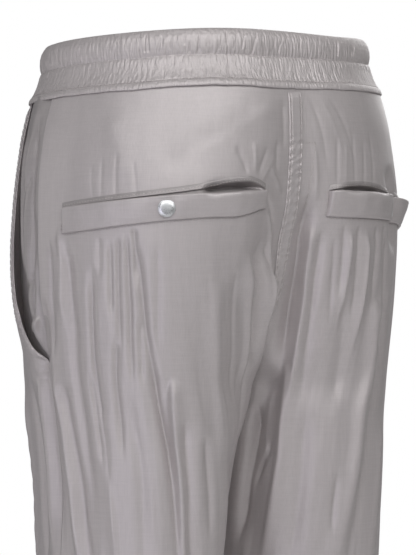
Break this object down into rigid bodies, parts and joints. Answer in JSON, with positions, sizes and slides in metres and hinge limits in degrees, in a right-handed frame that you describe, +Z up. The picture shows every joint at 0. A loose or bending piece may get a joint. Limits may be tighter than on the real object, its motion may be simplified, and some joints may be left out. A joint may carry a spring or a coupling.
{
  "type": "track pants",
  "caption": "Worn, empty satin track pants: seat and straight legs under a gathered elastic waistband, with snapped welt pockets on the back and slanted side pockets",
  "frame": {"origin": "middle of the waist opening, level with the top of the waistband, where the wearer holds the garment up", "axes": "+Z up along the legs towards the waist, +X towards the wearer's left, -Y towards the front"},
  "size_m": [0.3654, 0.2684, 1.0649],
  "materials": {
    "satin": "silver-mauve satin, soft sheen, fine weave",
    "satin_facing": "the same satin, seen in the pocket mouths",
    "snap_steel": "domed nickel-plated snap cap, softly polished"
  },
  "bodies": {
    "root": {"back_panel_left": "satin", "back_panel_right": "satin", "front_panel_left": "satin", "front_panel_right": "satin", "side_pocket_facing_left": "satin_facing", "side_pocket_facing_right": "satin_facing", "welt_left": "satin", "welt_right": "satin", "welt_facing_left": "satin_facing", "welt_facing_right": "satin_facing", "snap_left": "snap_steel", "snap_right": "snap_steel", "centre_back_strip": "satin", "waistband": "satin"}
  },
  "joints": []
}
